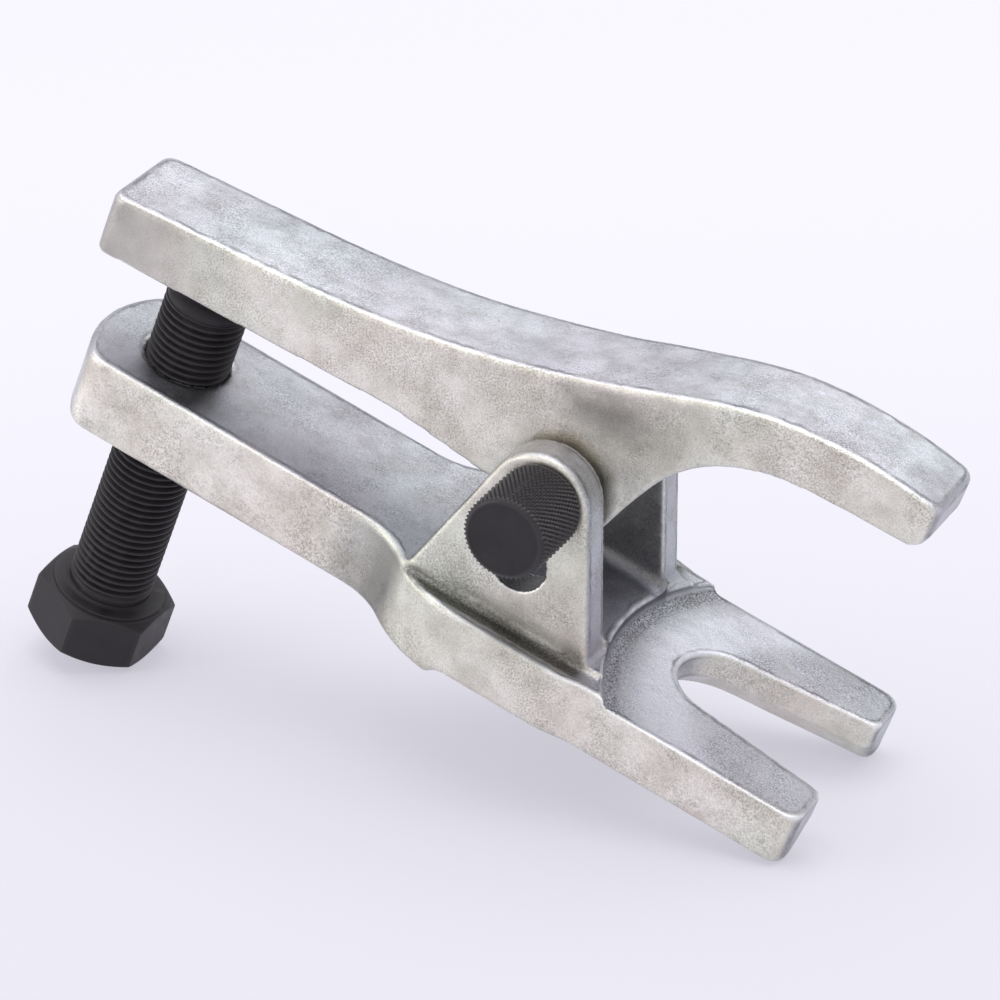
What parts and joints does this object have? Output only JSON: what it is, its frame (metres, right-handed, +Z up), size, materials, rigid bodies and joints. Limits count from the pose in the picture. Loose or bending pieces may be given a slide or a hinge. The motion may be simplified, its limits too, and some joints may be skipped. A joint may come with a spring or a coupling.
{
  "type": "ball joint separator",
  "caption": "Forged lever-type ball joint separator: slotted fork body, pivoting press lever, hex forcing screw and a knurled pivot pin with two pivot heights.",
  "frame": {"origin": "centre of the bounding box at bench level, the tool standing on its two fork tips and the rim of its screw head", "axes": "+X towards the fork tips, +Y towards the pin's plain end (the knurled knob is on the -Y side), +Z up from the bench"},
  "size_m": [0.1858, 0.0628, 0.1002],
  "materials": {
    "zinc_steel": "zinc plated forging, satin and slightly mottled",
    "black_steel": "black oxide, oiled",
    "bearing_steel": "polished hardened steel",
    "spring_steel": "drawn wire"
  },
  "bodies": {
    "fork": {"fork_body": "zinc_steel"},
    "lever": {"press_lever": "zinc_steel"},
    "screw_end": {"thrust_ball": "bearing_steel"},
    "screw": {"forcing_screw": "black_steel"},
    "pin": {"pivot_pin": "black_steel", "detent_spring": "spring_steel"},
    "detent": {"detent_ball": "bearing_steel"}
  },
  "joints": [
    {"name": "screw_advance", "type": "slide", "parent": "fork", "child": "screw_end", "axis": [0.365, 0, 0.931], "range_m": [-0.012, 0.027]},
    {"name": "screw_turn", "type": "hinge", "parent": "screw_end", "child": "screw", "pos_m": [-0.05828, 0.0044, 0.06489], "axis": [0.365, 0, 0.931], "range_deg": [-2881, 6481]},
    {"name": "lever_swing", "type": "hinge", "parent": "fork", "child": "lever", "pos_m": [0.02328, 0.0044, 0.0603], "axis": [0, 1, 0], "range_deg": [-8.76, 19.7]},
    {"name": "pin_turn", "type": "hinge", "parent": "fork", "child": "pin", "pos_m": [0.02328, 0.0044, 0.0603], "axis": [0, 1, 0], "continuous": true},
    {"name": "detent_press", "type": "slide", "parent": "pin", "child": "detent", "axis": [0, 0, -1], "range_m": [0, 0.0012], "stiffness_N_per_m": 800, "deforming": ["detent_spring"]}
  ],
  "couplings": [
    {"joint": "screw_turn", "follows": "screw_advance", "rad_per_m": 4188.8},
    {"joint": "lever_swing", "follows": "screw_advance", "rad_per_m": 12.729}
  ]
}
